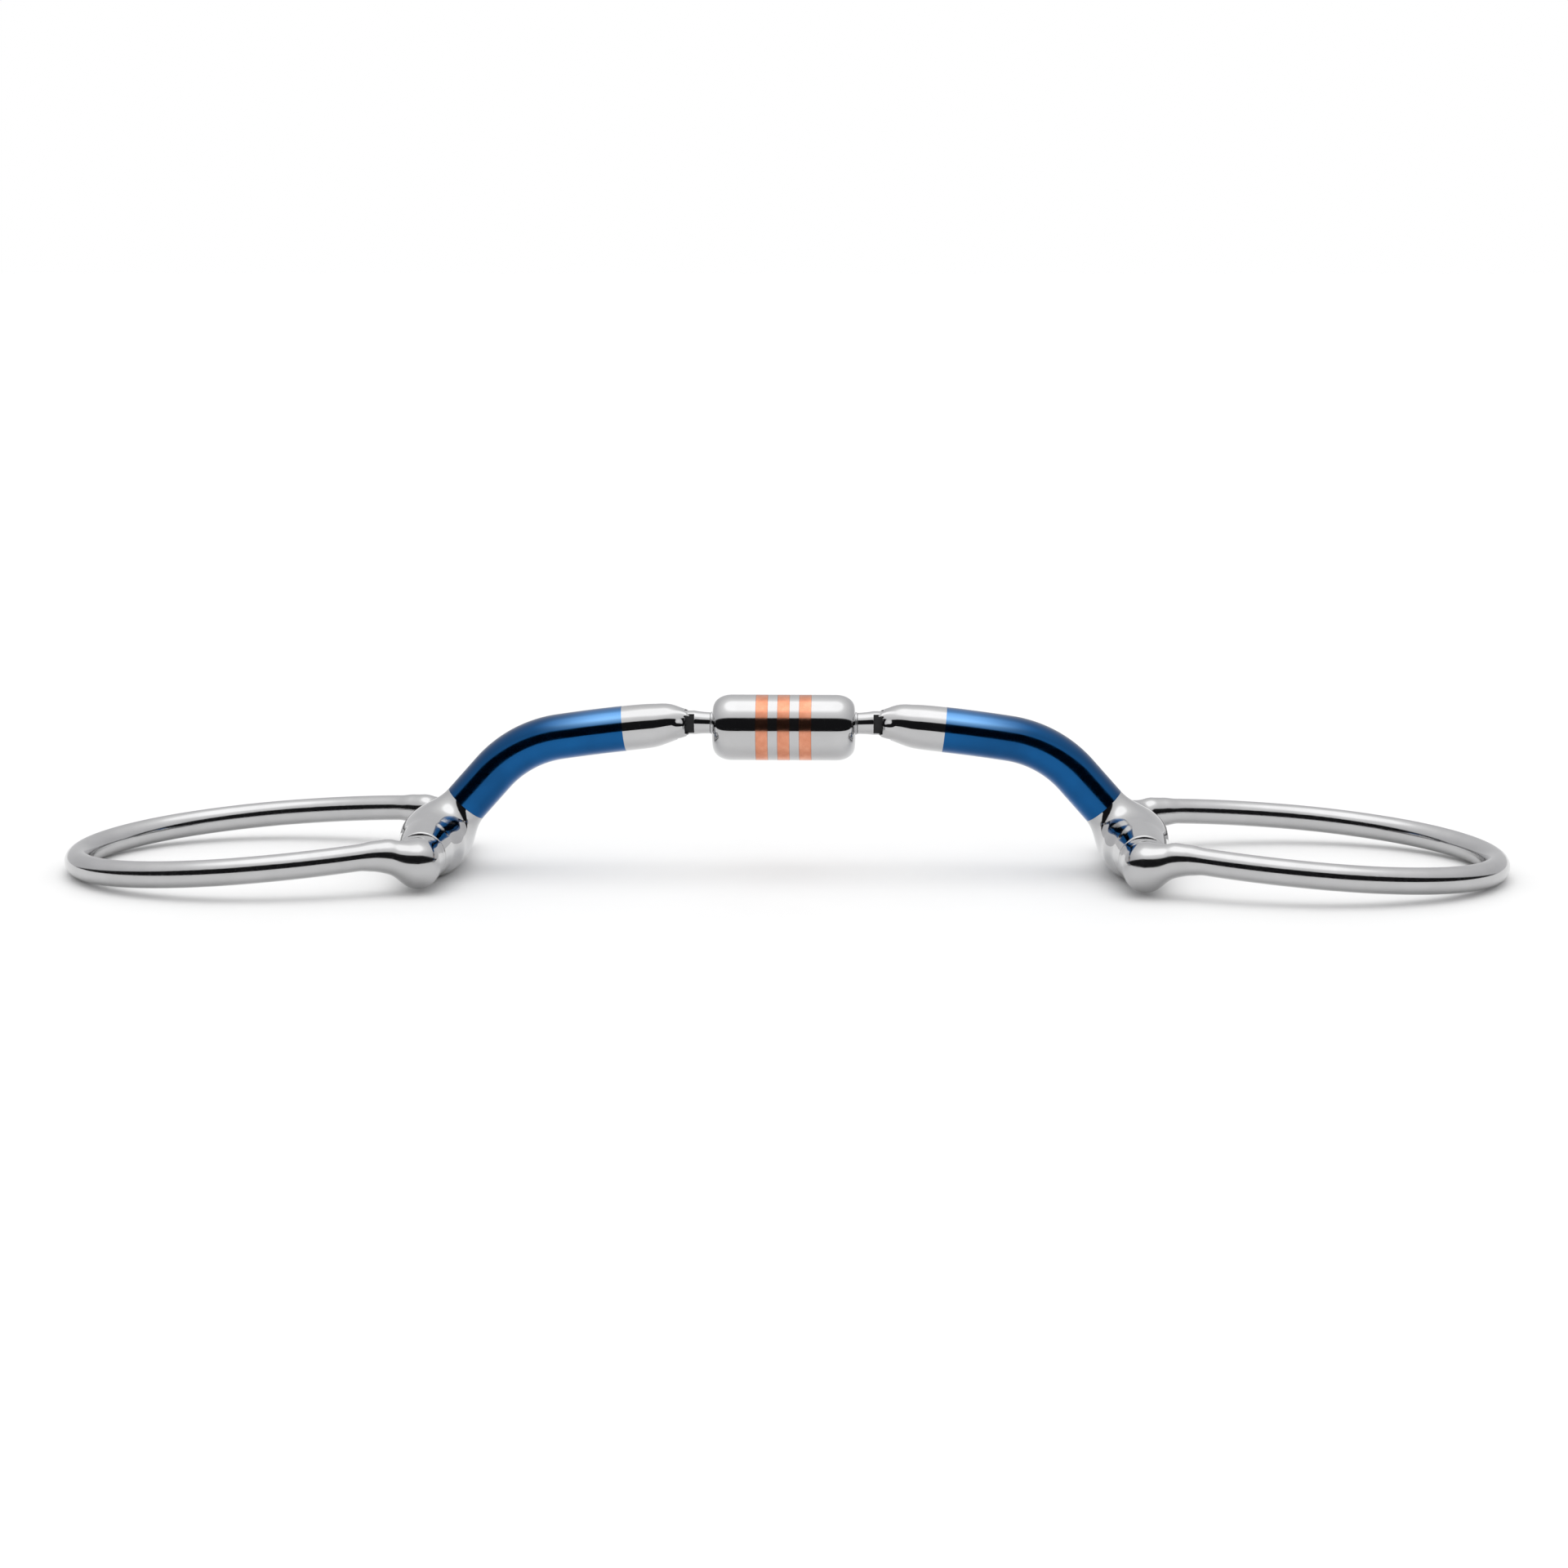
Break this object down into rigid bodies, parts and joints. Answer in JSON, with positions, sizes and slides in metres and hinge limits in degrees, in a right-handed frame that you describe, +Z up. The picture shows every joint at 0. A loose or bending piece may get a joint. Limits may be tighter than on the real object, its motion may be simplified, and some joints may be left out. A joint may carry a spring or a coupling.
{
  "type": "snaffle bit",
  "caption": "Eggbutt snaffle bit with a double-jointed lock-up mouthpiece: blued arms, a free-turning roller with inlaid copper bands and hinged cheek rings.",
  "frame": {"origin": "on the table plane that the butts and the rings' tips rest on, below the middle of the roller", "axes": "+X across the mouth towards the right-hand ring, +Y across the rings, +Z up through the arch of the mouthpiece"},
  "size_m": [0.2982, 0.074, 0.0367],
  "materials": {
    "steel": "plain turned stainless steel, hidden or part-hidden pieces",
    "arm_steel": "mirror-polished stainless steel",
    "ring_steel": "polished stainless steel, slightly softer than a mirror",
    "roller_steel": "mirror-polished stainless steel",
    "copper": "satin copper, faintly turned round the roller",
    "blue_steel": "heat-blued polished steel, deep blue"
  },
  "bodies": {
    "link": {"roller_spindle": "steel", "left_link_eye": "steel", "right_link_eye": "steel"},
    "roller": {"roller_barrel": "roller_steel", "copper_band_left": "copper", "copper_band_centre": "copper", "copper_band_right": "copper"},
    "left_arm": {"left_eye_end": "arm_steel", "left_inner_stud": "steel", "left_cannon": "blue_steel", "left_outer_stud": "steel", "left_butt": "arm_steel"},
    "left_ring": {"left_cheek_ring": "ring_steel", "left_hinge_pin": "steel"},
    "right_arm": {"right_eye_end": "arm_steel", "right_inner_stud": "steel", "right_cannon": "blue_steel", "right_outer_stud": "steel", "right_butt": "arm_steel"},
    "right_ring": {"right_cheek_ring": "ring_steel", "right_hinge_pin": "steel"}
  },
  "joints": [
    {"name": "roller_spin", "type": "hinge", "parent": "link", "child": "roller", "pos_m": [0, 0, 0.0299], "axis": [1, 0, 0], "continuous": true},
    {"name": "left_arm_fold", "type": "hinge", "parent": "link", "child": "left_arm", "pos_m": [-0.0215, 0, 0.0308], "axis": [0, -1, 0], "range_deg": [0, 45]},
    {"name": "right_arm_fold", "type": "hinge", "parent": "link", "child": "right_arm", "pos_m": [0.0215, 0, 0.0308], "axis": [0, 1, 0], "range_deg": [0, 45]},
    {"name": "left_ring_swing", "type": "hinge", "parent": "left_arm", "child": "left_ring", "pos_m": [-0.0726, 0, 0.0064], "axis": [0, 1, 0], "range_deg": [-65, 150]},
    {"name": "right_ring_swing", "type": "hinge", "parent": "right_arm", "child": "right_ring", "pos_m": [0.0726, 0, 0.0064], "axis": [0, -1, 0], "range_deg": [-65, 150]}
  ]
}
